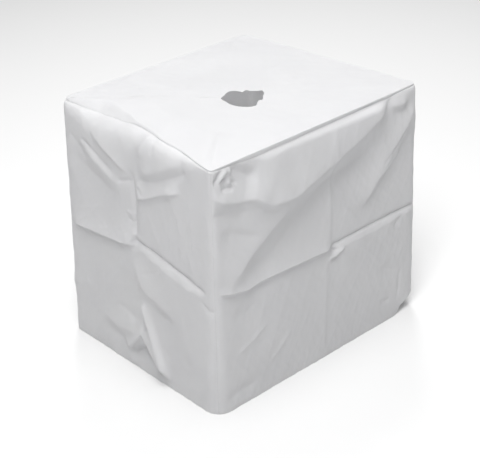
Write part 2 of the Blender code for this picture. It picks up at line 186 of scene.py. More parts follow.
# Folds in the walls. Each follows its path of (around, up) points, raises the cloth by height,
# or sinks it where height is below 0, and dies away within left and right of the path, as
# seen when walking along it. fade is the length over which it dies away at its two ends, and
# soft is lower for a sharper crest.
Fold = namedtuple("Fold", "name height left right fade soft path")
WALL_FOLDS = (
    # Storage crease round the middle
    Fold("left_crest", 0.018, 0.07, 0.010, 0.12, 1.2,
         ((-0.99, 0.585), (-0.88, 0.600), (-0.75, 0.615), (-0.48, 0.640))),
    Fold("left_trough", -0.01, 0.012, 0.01, 0.05, 1.2,
         ((-0.53, 0.660), (-0.38, 0.650), (-0.20, 0.620), (-0.05, 0.590))),
    Fold("left_trough_lip", 0.007, 0.026, 0.15, 0.16, 1.4,
         ((-0.52, 0.628), (-0.35, 0.608), (-0.20, 0.575), (-0.04, 0.560))),
    Fold("front_crest", 0.013, 0.06, 0.008, 0.06, 1.2,
         ((0.02, 0.600), (0.16, 0.572), (0.40, 0.567), (0.66, 0.558))),
    Fold("front_trough", -0.009, 0.01, 0.01, 0.04, 1.2,
         ((0.63, 0.562), (0.95, 0.566), (1.20, 0.562))),
    Fold("front_trough_lip", 0.006, 0.024, 0.15, 0.08, 1.4,
         ((0.66, 0.533), (0.95, 0.530), (1.19, 0.542))),
    Fold("right_trough", -0.012, 0.020, 0.014, 0.10, 1.2,
         ((1.22, 0.573), (1.72, 0.588))),
    Fold("right_crest", 0.012, 0.055, 0.013, 0.10, 1.2,
         ((1.66, 0.588), (2.18, 0.580))),
    Fold("back_trough", -0.012, 0.020, 0.015, 0.10, 1.2,
         ((2.22, 0.580), (2.84, 0.572))),
    Fold("back_crest", 0.013, 0.055, 0.013, 0.12, 1.2,
         ((2.76, 0.572), (3.37, 0.585))),
    # Diagonal drape of the front wall
    Fold("front_main_ridge", 0.031, 0.2, 0.055, 0.14, 1.25,
         ((0.14, 0.985), (0.28, 0.925), (0.42, 0.905), (0.58, 0.955), (0.80, 1.035), (1.03, 1.140))),
    Fold("front_low_ridge", 0.016, 0.090, 0.050, 0.12, 1.4,
         ((0.04, 0.600), (0.20, 0.735), (0.30, 0.805), (0.44, 0.895))),
    Fold("front_main_valley", -0.015, 0.060, 0.110, 0.14, 1.4,
         ((0.12, 0.625), (0.34, 0.675), (0.46, 0.780), (0.62, 0.885), (0.80, 0.905), (0.98, 0.955))),
    Fold("front_far_ridge", 0.016, 0.085, 0.055, 0.12, 1.4,
         ((0.80, 0.650), (0.93, 0.785), (1.01, 0.875), (1.10, 0.975), (1.19, 1.070))),
    Fold("front_far_valley", -0.007, 0.035, 0.080, 0.14, 1.4,
         ((0.78, 0.630), (0.92, 0.715), (1.05, 0.840), (1.18, 0.970))),
    Fold("front_pouch", 0.015, 0.055, 0.018, 0.1, 1.4,
         ((-0.02, 1.055), (0.06, 1.002), (0.12, 0.985), (0.20, 0.975), (0.27, 0.930))),
    Fold("front_pouch_gully", -0.010, 0.024, 0.028, 0.04, 1.4,
         ((0.09, 1.150), (0.15, 1.100), (0.23, 1.045))),
    Fold("front_right_pouch", 0.01, 0.033, 0.020, 0.07, 1.4,
         ((0.99, 1.105), (1.07, 1.090), (1.16, 1.105))),
    Fold("front_upright_crease", 0.003, 0.016, 0.032, 0.10, 1.2,
         ((0.655, 1.130), (0.650, 0.750), (0.635, 0.560), (0.620, 0.450), (0.602, 0.020))),
    Fold("front_pinch", 0.008, 0.016, 0.011, 0.03, 1.3,
         ((0.63, 0.500), (0.67, 0.505), (0.73, 0.540))),
    # Folds that meet in the middle of the left wall
    Fold("left_upper_crest", 0.009, 0.050, 0.012, 0.1, 1.3,
         ((-0.82, 1.095), (-0.70, 1.035), (-0.60, 0.995), (-0.51, 0.955))),
    Fold("left_middle_crest", 0.008, 0.030, 0.050, 0.16, 1.4,
         ((-0.90, 1.020), (-0.80, 0.972), (-0.70, 0.930), (-0.60, 0.890), (-0.52, 0.860))),
    Fold("left_soft_trough", -0.011, 0.045, 0.100, 0.17, 1.4,
         ((-0.96, 0.960), (-0.82, 0.880), (-0.70, 0.850), (-0.57, 0.840))),
    Fold("left_inner_crest", 0.013, 0.038, 0.011, 0.07, 1.3,
         ((-0.50, 0.866), (-0.40, 0.900), (-0.30, 0.952), (-0.18, 1.000))),
    Fold("left_inner_shelf", 0.010, 0.070, 0.022, 0.09, 1.4,
         ((-0.47, 0.975), (-0.38, 1.018), (-0.28, 1.068), (-0.17, 1.130))),
    Fold("left_upright_crease", -0.008, 0.018, 0.022, 0.06, 1.3,
         ((-0.505, 1.000), (-0.495, 0.860), (-0.500, 0.700), (-0.510, 0.600))),
    Fold("left_arc", 0.011, 0.100, 0.036, 0.16, 1.4,
         ((-0.505, 0.610), (-0.485, 0.500), (-0.440, 0.445), (-0.360, 0.420), (-0.220, 0.370))),
    Fold("left_arc_trough", -0.008, 0.045, 0.100, 0.08, 1.4,
         ((-0.46, 0.385), (-0.38, 0.365), (-0.24, 0.320))),
    Fold("left_long_crest", 0.017, 0.016, 0.04, 0.05, 1.3,
         ((-0.474, 0.385), (-0.440, 0.290), (-0.380, 0.170), (-0.300, 0.030))),
    Fold("left_star_crest", 0.015, 0.038, 0.01, 0.05, 1.3,
         ((-0.60, 0.065), (-0.53, 0.140), (-0.476, 0.205), (-0.40, 0.132), (-0.325, 0.052))),
    Fold("left_star_trough", -0.019, 0.012, 0.03, 0.05, 1.4,
         ((-0.59, 0.040), (-0.52, 0.098), (-0.460, 0.140), (-0.40, 0.098), (-0.345, 0.045))),
    Fold("left_low_ridge", 0.008, 0.060, 0.035, 0.12, 1.4,
         ((-0.82, 0.215), (-0.66, 0.165), (-0.56, 0.190), (-0.48, 0.205))),
    Fold("left_corner_ridge", 0.004, 0.060, 0.035, 0.08, 1.4,
         ((-1.06, 0.255), (-0.93, 0.275), (-0.82, 0.320))),
    # The hidden walls keep their own upright creases and one slack drape each
    Fold("right_upright_crease", 0.006, 0.020, 0.035, 0.10, 1.2,
         ((1.70, 1.100), (1.71, 0.590), (1.68, 0.040))),
    Fold("right_drape", 0.014, 0.120, 0.055, 0.12, 1.4,
         ((1.32, 0.660), (1.52, 0.800), (1.80, 1.020))),
    Fold("right_low_drape", -0.009, 0.070, 0.090, 0.12, 1.4,
         ((1.45, 0.420), (1.75, 0.300), (2.05, 0.330))),
    Fold("back_upright_crease", -0.006, 0.026, 0.024, 0.10, 1.2,
         ((2.79, 1.100), (2.81, 0.570), (2.83, 0.040))),
    Fold("back_drape", 0.015, 0.055, 0.130, 0.12, 1.4,
         ((2.40, 1.040), (2.66, 0.870), (2.92, 0.680))),
    Fold("back_left_drape", 0.012, 0.110, 0.055, 0.12, 1.4,
         ((2.88, 0.820), (3.08, 0.930), (3.28, 1.060))),
    Fold("back_low_drape", -0.009, 0.080, 0.080, 0.12, 1.4,
         ((2.45, 0.250), (2.80, 0.380), (3.15, 0.300))),
)

# Small creases between the main folds
SMALL_FOLDS = (
    # Crumpled knot under the front corner
    Fold("knot_slit", -0.009, 0.009, 0.007, 0.02, 1.3, ((0.008, 1.085), (0.030, 1.110), (0.058, 1.148))),
    Fold("knot_slit_lip", 0.007, 0.010, 0.012, 0.02, 1.3, ((0.030, 1.090), (0.052, 1.118), (0.080, 1.145))),
    Fold("knot_level_slit", -0.007, 0.007, 0.007, 0.02, 1.3,
         ((0.035, 1.098), (0.060, 1.100), (0.092, 1.108))),
    Fold("knot_triangle", -0.009, 0.020, 0.007, 0.02, 1.3, ((0.040, 1.062), (0.075, 1.058), (0.112, 1.048))),
    Fold("knot_triangle_lip", 0.006, 0.008, 0.010, 0.02, 1.3,
         ((0.070, 1.088), (0.098, 1.070), (0.118, 1.048))),
    Fold("knot_side_slit", -0.007, 0.006, 0.008, 0.02, 1.3, ((0.092, 1.085), (0.115, 1.070), (0.125, 1.050))),
    Fold("knot_upright", 0.006, 0.009, 0.008, 0.02, 1.3, ((0.095, 1.100), (0.098, 1.148))),
    # Creases of the front wall
    Fold("front_stripe_a", -0.005, 0.014, 0.024, 0.05, 1.3, ((-0.02, 0.962), (0.10, 0.935), (0.19, 0.915))),
    Fold("front_stripe_b", -0.005, 0.012, 0.022, 0.05, 1.3, ((0.19, 0.955), (0.26, 0.895), (0.33, 0.862))),
    Fold("front_stripe_c", -0.005, 0.018, 0.030, 0.06, 1.3, ((0.04, 0.880), (0.15, 0.825), (0.24, 0.780))),
    Fold("front_far_line_a", 0.004, 0.008, 0.010, 0.05, 1.2, ((0.93, 0.790), (1.02, 0.835), (1.09, 0.880))),
    Fold("front_far_line_b", -0.004, 0.010, 0.010, 0.05, 1.2, ((0.95, 0.830), (1.05, 0.905), (1.12, 0.965))),
    Fold("front_far_arc", -0.006, 0.020, 0.030, 0.04, 1.3, ((1.02, 1.070), (1.09, 1.055), (1.16, 1.070))),
    Fold("front_lift_line", -0.006, 0.018, 0.026, 0.05, 1.3, ((0.95, 1.060), (1.00, 1.120), (1.05, 1.165))),
    Fold("front_pinch_slit", -0.007, 0.007, 0.008, 0.02, 1.2, ((0.635, 0.548), (0.66, 0.540), (0.69, 0.528))),
    Fold("front_pinch_under", -0.005, 0.008, 0.020, 0.03, 1.2,
         ((0.635, 0.485), (0.68, 0.488), (0.72, 0.510))),
    Fold("front_low_line_a", 0.003, 0.012, 0.014, 0.05, 1.2, ((0.10, 0.262), (0.19, 0.300), (0.29, 0.355))),
    Fold("front_low_line_b", 0.003, 0.010, 0.014, 0.05, 1.2, ((0.28, 0.140), (0.34, 0.185), (0.42, 0.250))),
    Fold("front_low_line_c", -0.004, 0.012, 0.022, 0.05, 1.2, ((0.94, 0.312), (1.01, 0.285), (1.08, 0.245))),
    Fold("front_low_line_d", -0.003, 0.010, 0.014, 0.05, 1.2,
         ((1.085, 0.270), (1.083, 0.180), (1.070, 0.070))),
    Fold("front_low_line_e", -0.004, 0.010, 0.018, 0.03, 1.2, ((0.95, 0.135), (0.98, 0.115), (1.03, 0.118))),
    Fold("front_knee", -0.005, 0.014, 0.030, 0.03, 1.3, ((1.04, 0.480), (1.06, 0.520), (1.12, 0.545))),
    Fold("front_under_crease", -0.006, 0.030, 0.060, 0.06, 1.4,
         ((0.10, 0.500), (0.17, 0.455), (0.24, 0.480))),
    Fold("front_foot_hollow", -0.006, 0.030, 0.030, 0.06, 1.4, ((0.04, 0.050), (0.13, 0.075), (0.23, 0.070))),
    # Creases of the left wall
    Fold("left_upper_trough", -0.007, 0.014, 0.010, 0.04, 1.2,
         ((-0.87, 1.022), (-0.78, 0.992), (-0.70, 0.955), (-0.62, 0.928))),
    Fold("left_short_line", -0.006, 0.009, 0.007, 0.03, 1.2,
         ((-0.610, 0.905), (-0.560, 0.925), (-0.505, 0.948))),
    Fold("left_fan_line", -0.005, 0.008, 0.010, 0.03, 1.2,
         ((-0.480, 0.930), (-0.440, 0.905), (-0.415, 0.900))),
    Fold("left_inner_trough", -0.008, 0.018, 0.020, 0.05, 1.3,
         ((-0.48, 0.948), (-0.36, 0.985), (-0.26, 1.035), (-0.14, 1.100))),
    Fold("left_ripple_a", 0.0025, 0.008, 0.010, 0.02, 1.2,
         ((-0.560, 0.790), (-0.520, 0.780), (-0.490, 0.800))),
    Fold("left_ripple_b", -0.0025, 0.008, 0.012, 0.02, 1.2,
         ((-0.550, 0.760), (-0.520, 0.745), (-0.485, 0.762))),
    Fold("left_crossing", 0.007, 0.030, 0.020, 0.04, 1.3,
         ((-0.560, 0.620), (-0.520, 0.665), (-0.495, 0.720))),
    Fold("left_top_facet", 0.006, 0.030, 0.012, 0.04, 1.2,
         ((-0.455, 1.060), (-0.430, 1.120), (-0.405, 1.180))),
    Fold("left_top_facet_b", -0.004, 0.014, 0.030, 0.04, 1.2,
         ((-0.360, 1.090), (-0.375, 1.140), (-0.390, 1.185))),
    Fold("left_long_trough", -0.006, 0.010, 0.010, 0.04, 1.2,
         ((-0.480, 0.380), (-0.478, 0.300), (-0.476, 0.215))),
    Fold("left_under_star", 0.006, 0.025, 0.030, 0.03, 1.3,
         ((-0.51, 0.085), (-0.455, 0.105), (-0.41, 0.075))),
    Fold("left_dim_hollow", -0.006, 0.045, 0.050, 0.08, 1.4,
         ((-0.80, 0.130), (-0.70, 0.110), (-0.58, 0.115))),
    Fold("left_soft_line", -0.005, 0.030, 0.026, 0.06, 1.3, ((-0.67, 0.290), (-0.58, 0.272), (-0.50, 0.255))),
    Fold("left_upper_bow", -0.005, 0.020, 0.030, 0.08, 1.4, ((-0.97, 1.040), (-0.88, 0.980), (-0.80, 0.930))),
    Fold("left_corner_line", -0.004, 0.010, 0.016, 0.04, 1.3,
         ((-0.10, 0.555), (-0.04, 0.520), (0.02, 0.515))),
)

# Folds in the top panel, with paths of (x, y) points
TOP_FOLDS = (
    Fold("top_corner_crease", 0.005, 0.018, 0.050, 0.08, 1.3,
         ((-0.58, -0.47), (-0.46, -0.37), (-0.34, -0.26))),
    Fold("top_long_crease", -0.004, 0.050, 0.060, 0.15, 1.4, ((0.49, 0.30), (0.24, 0.05), (0.06, -0.14))),
    Fold("top_left_swell", 0.007, 0.080, 0.120, 0.15, 1.4, ((-0.32, 0.36), (-0.36, 0.10), (-0.44, -0.20))),
    Fold("top_back_dip", -0.006, 0.120, 0.120, 0.20, 1.4, ((-0.20, 0.34), (0.10, 0.26), (0.36, 0.30))),
)

# Faint unevenness of the slack cloth, from this many waves of these lengths. The top keeps a
# smaller share of it, and the hem's stitching adds short waves of its own.
CRINKLE_SEED = 11
CRINKLE_WAVES = 24
CRINKLE_SHORTEST = 0.06
CRINKLE_LONGEST = 0.30
TOP_CALM = 0.45
PUCKER_SEED = 17
PUCKER_SHORTEST = 0.020
PUCKER_LONGEST = 0.070

# Seams and the turned hem. The stitching holds back the folds beside the top seam and near the
# hem, and the top's own folds begin a little way in from its seam.
SEAM_GAP = 0.0004
SEAM_HOLD = 0.75
SEAM_HOLD_WIDTH = 0.012
TOP_FOLD_START = 0.05
SEAM_DIP = 0.0013
SEAM_DIP_WIDTH = 0.004
HEM_FOLD_UP = 0.024
HEM_PUCKER_REACH = 0.045
HEM_HOLD = 0.85
HEM_HOLD_REACH = 0.030
STITCH_BESIDE_SEAM = 0.005
STITCH_SIDES = 4

# Rings of a stitch from end to end: share of its length, thickness, and rise in thread radii
StitchRing = namedtuple("StitchRing", "share size rise")
STITCH_RINGS = (
    StitchRing(0.0, 0.45, -0.2),
    StitchRing(0.25, 1.0, 0.45),
    StitchRing(0.75, 1.0, 0.45),
    StitchRing(1.0, 0.45, -0.2),
)

# Edges of the cloth bent by more than this many degrees are shaded sharp
SHARP_DEGREES = 62

# Blender's wave texture repeats once in this length, over its scale
WAVE_TEXTURE_LENGTH = 2 * math.pi / 20

# The camera: where it stands, which way it looks, in degrees, and its lens, as it fits a
# picture PHOTO_WIDTH pixels wide
PHOTO_WIDTH = 480
CAMERA_PLACE = (-3.1555, -3.3852, 3.0328)
CAMERA_HEADING = 47.07
CAMERA_DOWN = 28.92
CAMERA_ROLL = 2.043
CAMERA_FOCAL_PIXELS = 1150.5
SENSOR_WIDTH = 36.0
FLOOR_HALF = 14.0


# Shared sums

def smooth_step(value):
    value = np.clip(value, 0.0, 1.0)
    return value * value * (3.0 - 2.0 * value)


def unit(vectors):
    return vectors / np.linalg.norm(vectors, axis=-1, keepdims=True)


def wrap_round(around):
    """Bring a distance round the cover to the stretch from the left corner back to it."""
    return (np.asarray(around, dtype=float) + BLOCK_WIDTH) % GIRTH - BLOCK_WIDTH


def smooth_table(rows, column, around):
    """Read a column of a table by distance round, easing from each row to the next."""
    around = wrap_round(around)
    result = np.zeros_like(around)
    for low, high in zip(rows, rows[1:]):
        inside = (around >= low.around) & (around <= high.around)
        share = smooth_step((around - low.around) / (high.around - low.around))
        value = getattr(low, column) * (1 - share) + getattr(high, column) * share
        result = np.where(inside, value, result)
    return result


def one_fold(fold, path, across, up):
    """What a single fold raises the cloth by at the points (across, up)."""
    lengths = np.hypot(*np.diff(path, axis=0).T)
    starts = np.concatenate(([0.0], np.cumsum(lengths)))
    nearest = np.full_like(across, np.inf)
    side = np.zeros_like(across)
    along = np.zeros_like(across)
    for (x0, y0), (x1, y1), length, start in zip(path, path[1:], lengths, starts):
        ux, uy = (x1 - x0) / length, (y1 - y0) / length
        run = np.clip((across - x0) * ux + (up - y0) * uy, 0.0, length)
        off_x, off_y = across - x0 - run * ux, up - y0 - run * uy
        distance = np.hypot(off_x, off_y)
        closer = distance < nearest
        nearest = np.where(closer, distance, nearest)
        side = np.where(closer, ux * off_y - uy * off_x, side)
        along = np.where(closer, start + run, along)
    width = np.where(side > 0, fold.left, fold.right)
    end_fade = smooth_step(along / fold.fade) * smooth_step((starts[-1] - along) / fold.fade)
    return fold.height * end_fade * np.exp(-((nearest / width) ** fold.soft))


def fold_height(folds, across, up, girth=None):
    """Sum what all folds raise the cloth by at the points (across, up)."""
    total = np.zeros_like(across)
    for fold in folds:
        path = np.array(fold.path)
        middle = path[:, 0].mean()
        shift = (across - middle + girth / 2) % girth - girth / 2 + middle if girth else across
        reach = 4 * max(fold.left, fold.right)
        low, high = path.min(axis=0) - reach, path.max(axis=0) + reach
        near = (shift > low[0]) & (shift < high[0]) & (up > low[1]) & (up < high[1])
        if near.any():
            total[near] += one_fold(fold, path, shift[near], up[near])
    return total


def crinkle(points, seed, shortest, longest):
    """Soft low ridges in many directions, 0 on the whole and mostly between -1 and 1."""
    draw = np.random.default_rng(seed)
    total = np.zeros(points.shape[:-1])
    for _ in range(CRINKLE_WAVES):
        length = draw.uniform(shortest, longest)
        forward, aside = (unit(draw.normal(size=3)) for _ in range(2))
        bend = draw.uniform(0.4, 1.2)
        phase, slow_phase = draw.uniform(0.0, 2 * math.pi, 2)
        slow = 2 * math.pi * (points @ aside) / (3.0 * length) + slow_phase
        wave = np.sin(2 * math.pi * (points @ forward) / length + bend * np.sin(slow) + phase)
        patch = 0.5 + 0.5 * np.sin(0.7 * slow + phase)
        total += (1 - np.abs(wave)) ** 2 * patch * length / longest
    return 0.5 * (total - total.mean()) / total.std()


# The cloth's grid

def corner_place(corner, share):
    """Corner of the wall's outline at each height share, 0 at the hem and 1 at the top."""
    share = np.asarray(share, dtype=float)
    x = corner.side_x * BLOCK_LENGTH / 2 + BLOCK_SHIFT_X + corner.foot_x * (1 - share) + corner.top_x * share
    y = corner.side_y * BLOCK_WIDTH / 2 + corner.foot_y * (1 - share) + corner.top_y * share
    roundness = corner.foot_round * (1 - share) + corner.top_round * share
    return np.stack([x, y], axis=-1), roundness[..., None]


def outline_point(column, share):
    """Point, outward direction and distance round of one grid column at the height shares."""
    panel_index, part, step = column
    panel = PANELS[panel_index]
    places = [corner_place(CORNERS[(panel_index + k) % 4], share) for k in (-1, 0, 1, 2)]
    before, start, end, after = (place for place, _ in places)
    start_round, end_round = places[1][1], places[2][1]
    along = unit(end - start)
    outward = np.stack([along[..., 1], -along[..., 0]], axis=-1)
    if part == "run":
        near, far = start + along * start_round, end - along * end_round
        place = near * (1 - step) + far * step
        near_around = panel.start_round + start_round[..., 0] * (1 - step)
        return place, outward, near_around + (panel.length - end_round[..., 0]) * step
    if part == "start":
        corner, size, back = start, start_round, unit(before - start)
        ahead, corner_around = along, panel.start_round
        sides = np.stack([-back[..., 1], back[..., 0]], axis=-1), outward
    else:
        corner, size, back = end, end_round, -along
        ahead, corner_around = unit(after - end), panel.start_round + panel.length
        sides = outward, np.stack([ahead[..., 1], -ahead[..., 0]], axis=-1)
    leave, arrive = corner + back * size, corner + ahead * size
    place = leave * (1 - step) ** 2 + corner * 2 * step * (1 - step) + arrive * step ** 2
    turned = unit(sides[0] * (1 - step) + sides[1] * step)
    return place, turned, corner_around + size[..., 0] * (2 * step - 1)


def grid_columns():
    """All columns in order round the cover, and the first column of each panel."""
    columns, first = [], []
    near_seam = [0.5 * (k / CORNER_COLUMNS) ** SEAM_CROWDING for k in range(CORNER_COLUMNS)]
    for index, panel in enumerate(PANELS):
        first.append(len(columns))
        columns += [(index, "start", 0.5 + step) for step in near_seam]
        columns += [(index, "run", k / panel.columns) for k in range(panel.columns + 1)]
        columns += [(index, "end", 0.5 - step) for step in reversed(near_seam[1:])]
    return columns, first


def hole_radius(direction):
    """Radius of the hole's ragged rim in a direction, in radians, from the hole's middle."""
    rim = (HOLE_RIM[-1]._replace(degrees=HOLE_RIM[-1].degrees - 360),) + HOLE_RIM
    rim += (HOLE_RIM[0]._replace(degrees=HOLE_RIM[0].degrees + 360),)
    radius = np.interp(math.degrees(direction) % 360, *zip(*rim))
    fray = math.sin(61 * direction) * math.sin(23 * direction + 1.0) + 0.5 * math.sin(97 * direction)
    return radius + FRAY * fray


def top_height(panel_index, part, step):
    """Height of the top at a column, which runs straight from corner to corner."""
    start = BLOCK_HEIGHT + CORNERS[panel_index].top_rise
    end = BLOCK_HEIGHT + CORNERS[(panel_index + 1) % 4].top_rise
    if part == "start":
        return start
    if part == "end":
        return end
    return start * (1 - step) + end * step


def row_shares():
    """Shares of the way from the crease to the hem, to the shoulder and over the shoulder."""
    below = np.linspace(1, 0, ROWS_BELOW + 1)[:-1] ** CREASE_CROWDING
    above = np.linspace(0, 1, ROWS_ABOVE + 1)[1:] ** CREASE_CROWDING
    over = np.linspace(0, 1, ROWS_SHOULDER + 1)[1:]
    return below, above, 1 - (1 - over) ** SEAM_CROWDING


def flat_wall(column):
    """Points and distances round of a column, without its folds, from the hem to the shoulder."""
    below, above, _ = row_shares()
    top = top_height(*column)
    _, _, around = outline_point(column, np.array(0.5))
    crease = np.interp(wrap_round(around), *zip(*STORAGE_CREASE))
    hem = np.interp(around, *zip(*HEM_LIFT))
    shoulder = top - smooth_table(TOP_EDGE, "shoulder_drop", around)
    up = np.concatenate([crease + (hem - crease) * below, [crease], crease + (shoulder - crease) * above])
    place, _, around = outline_point(column, up / top)
    return np.column_stack([place, up]), around


def flat_edge(column, wall_end):
    """Points of a column over the shoulder to the seam, then up the band and in to the hole."""
    top = top_height(*column)
    place, outward, around = outline_point(column, np.array(1.0))
    ridge_in, band_out, band_drop, shoulder_drop = (
        float(smooth_table(TOP_EDGE, name, around)) for name in EdgePoint._fields[1:])
    ridge = np.append(place - outward * ridge_in, top)
    seam = np.append(place - outward * (ridge_in - band_out), top - band_drop)
    knee = np.append(place + outward * KNEE_OUT, top - band_drop - KNEE_DROP_SHARE * shoulder_drop)
    share = row_shares()[2][:, None]
    shoulder = wall_end * (1 - share) ** 2 + knee * 2 * share * (1 - share) + seam * share ** 2
    share = np.linspace(0, 1, ROWS_BAND + 1)[1:, None]
    bulge = (seam + ridge) / 2 + np.append(outward * 2 * BAND_BULGE, 0.0)
    band = seam * (1 - share) ** 2 + bulge * 2 * share * (1 - share) + ridge * share ** 2
    direction = math.atan2(ridge[1] - HOLE_Y, ridge[0] - HOLE_X)
    radius = hole_radius(direction)
    rim = np.array([HOLE_X + radius * math.cos(direction), HOLE_Y + radius * math.sin(direction)])
    share = np.linspace(0, 1, ROWS_TOP + 1)[1:, None]
    share = (1 - TOP_ROW_EASING) * share + TOP_ROW_EASING * smooth_step(share)
    flat = ridge[:2] * (1 - share) + rim * share
    dip = top + (BLOCK_HEIGHT - top) * smooth_step(share[:, 0] / TOP_LEVEL_FROM)
    return np.vstack([shoulder, band, np.column_stack([flat, dip])]), around


def grid_normals(grid):
    """Outward direction at each grid point, the same on both sides of a seam."""
    across = np.roll(grid, -1, axis=0) - np.roll(grid, 1, axis=0)
    normals = np.cross(across, np.gradient(grid, axis=1))
    normals[:, 0, 2] = 0.0
    return unit(normals)


Cloth = namedtuple("Cloth", "grid normals around length first seam_row")


@lru_cache(maxsize=1)
def cloth_grid(fold_scale, crinkle_height, hem_pucker):
    """The whole cover's outer surface as columns by rows of points, with its folds."""
    columns, first = grid_columns()
    flat, around = [], []
    for column in columns:
        wall, wall_around = flat_wall(column)
        edge, edge_around = flat_edge(column, wall[-1])
        flat.append(np.vstack([wall, edge]))
        around.append(np.concatenate([wall_around, np.full(len(edge), edge_around)]))
    flat, around = np.array(flat), np.array(around)
    seam_row = ROWS_BELOW + ROWS_ABOVE + ROWS_SHOULDER
    steps = np.linalg.norm(np.diff(flat, axis=1), axis=2)
    length = np.concatenate([np.zeros((len(flat), 1)), np.cumsum(steps, axis=1)], axis=1)
    to_seam = np.abs(length - length[:, seam_row, None])

    wall = np.s_[:, :seam_row + 1]
    lift = crinkle_height * crinkle(flat, CRINKLE_SEED, CRINKLE_SHORTEST, CRINKLE_LONGEST)
    lift[:, seam_row:] *= TOP_CALM
    wall_folds = fold_height(WALL_FOLDS + SMALL_FOLDS, around[wall], flat[..., 2][wall], GIRTH)
    lift[wall] += fold_scale * wall_folds * (1 - HEM_HOLD * np.exp(-length[wall] / HEM_HOLD_REACH))
    pucker = crinkle(flat[wall], PUCKER_SEED, PUCKER_SHORTEST, PUCKER_LONGEST)
    lift[wall] += hem_pucker * pucker * np.exp(-length[wall] / HEM_PUCKER_REACH)
    top = np.s_[:, seam_row + 1:]
    top_folds = fold_height(TOP_FOLDS, flat[..., 0][top], flat[..., 1][top])
    lift[top] += fold_scale * top_folds * smooth_step(to_seam[top] / TOP_FOLD_START)

    lift *= 1 - SEAM_HOLD * np.exp(-((to_seam / SEAM_HOLD_WIDTH) ** 2))
    lift -= SEAM_DIP * np.exp(-((to_seam / SEAM_DIP_WIDTH) ** 2))
    for start in first:
        beside = np.linalg.norm(flat - flat[start], axis=2)
        lift[wall] -= SEAM_DIP * np.exp(-((beside[wall] / SEAM_DIP_WIDTH) ** 2))
    grid = flat + grid_normals(flat) * lift[..., None]
    return Cloth(grid, grid_normals(grid), around, length, first, seam_row)


# Meshes

def mesh_from(name, points, faces, corners_per_face, flat_places=None):
    """A mesh from arrays of points and faces, with a map of each point's place on the flat cloth."""
    mesh = bpy.data.meshes.new(name)
    mesh.vertices.add(len(points))
    mesh.vertices.foreach_set("co", np.asarray(points, np.float32).ravel())
    mesh.loops.add(faces.size)
    mesh.loops.foreach_set("vertex_index", faces.ravel().astype(np.int32))
    mesh.polygons.add(len(faces))
    mesh.polygons.foreach_set("loop_start", np.arange(len(faces), dtype=np.int32) * corners_per_face)
    if flat_places is not None:
        layer = mesh.uv_layers.new(name="cloth_flat")
        layer.uv.foreach_set("vector", flat_places[faces.ravel()].astype(np.float32).ravel())
    mesh.update(calc_edges=True)
    mesh.validate()
    return mesh


def sheet_faces(width, height, closed):
    """Faces of both sides of a sheet and of its cut edges, with the inner points after the outer."""
    behind = width * height
    i = np.arange(width if closed else width - 1)[:, None]
    j = np.arange(height - 1)[None, :]

    def index(column, row):
        return (column % width) * height + row

    square = np.stack([index(i, j), index(i + 1, j), index(i + 1, j + 1), index(i, j + 1)], axis=-1)
    outer = square.reshape(-1, 4)
    faces = [outer, outer[:, ::-1] + behind]
    i, j = i[:, 0], j[0]
    for row, ends in ((0, (0, 1)), (height - 1, (1, 0))):
        a, b = index(i + ends[0], row), index(i + ends[1], row)
        faces.append(np.stack([b, a, a + behind, b + behind], axis=-1))
    if not closed:
        for column, lows in ((0, (1, 0)), (width - 1, (0, 1))):
            a, b = index(column, j + lows[0]), index(column, j + lows[1])
            faces.append(np.stack([b, a, a + behind, b + behind], axis=-1))
    return np.concatenate(faces)


def block_scale(sizes):
    """How much larger than the drawn block the chosen one is, along each axis."""
    chosen = np.array([sizes.block_length, sizes.block_width, sizes.block_height])
    return chosen / np.array([BLOCK_LENGTH, BLOCK_WIDTH, BLOCK_HEIGHT])


def panel_mesh(name, cloth, sizes, columns, rows, flat_places, closed=False):
    """Closed thin sheet of one panel, its sewn edges drawn back by half the seam's gap."""
    wrapped = [k % len(cloth.grid) for k in columns]
    across = unit(np.roll(cloth.grid, -1, axis=0) - np.roll(cloth.grid, 1, axis=0))[wrapped]
    up = unit(np.gradient(cloth.grid, axis=1))[wrapped]
    outer = cloth.grid[wrapped].copy()
    if not closed:
        outer[0] += across[0] * SEAM_GAP / 2
        outer[-1] -= across[-1] * SEAM_GAP / 2
    if rows.start:
        outer[:, rows.start] += up[:, rows.start] * SEAM_GAP / 2
    else:
        outer[:, rows.stop - 1] -= up[:, rows.stop - 1] * SEAM_GAP / 2
    outer = outer[:, rows]
    layers = 1 + (cloth.length[wrapped][:, rows] < HEM_FOLD_UP)[..., None]
    inner = outer - cloth.normals[wrapped][:, rows] * sizes.cloth_thickness * layers
    points = np.concatenate([outer.reshape(-1, 3), inner.reshape(-1, 3)]) * block_scale(sizes)
    places = flat_places[wrapped][:, rows]
    if not closed and places[-1, 0, 0] < places[0, 0, 0]:
        places[-1, :, 0] += GIRTH
    width, height = outer.shape[:2]
    faces = sheet_faces(width, height, closed)
    return mesh_from(name, points, faces, 4, np.tile(places.reshape(-1, 2), (2, 1)))


def line_beside(cloth, axis, index, distance, reach=24):
    """Points and outward directions of a line on the cloth at a distance beside a grid line."""
    grid, normals = (np.moveaxis(part, axis, 0) for part in (cloth.grid, cloth.normals))
    picked = (index + int(np.sign(distance)) * np.arange(reach)) % len(grid)
    path, path_normals = grid[picked], normals[picked]
    gone = np.cumsum(np.linalg.norm(np.diff(path, axis=0), axis=2), axis=0)
    gone = np.vstack([np.zeros((1, gone.shape[1])), gone])
    k = np.clip((gone < abs(distance)).sum(axis=0) - 1, 0, reach - 2)
    here = np.arange(gone.shape[1])
    share = ((abs(distance) - gone[k, here]) / (gone[k + 1, here] - gone[k, here]))[:, None]
    points = path[k, here] * (1 - share) + path[k + 1, here] * share
    return points, unit(path_normals[k, here] * (1 - share) + path_normals[k + 1, here] * share)


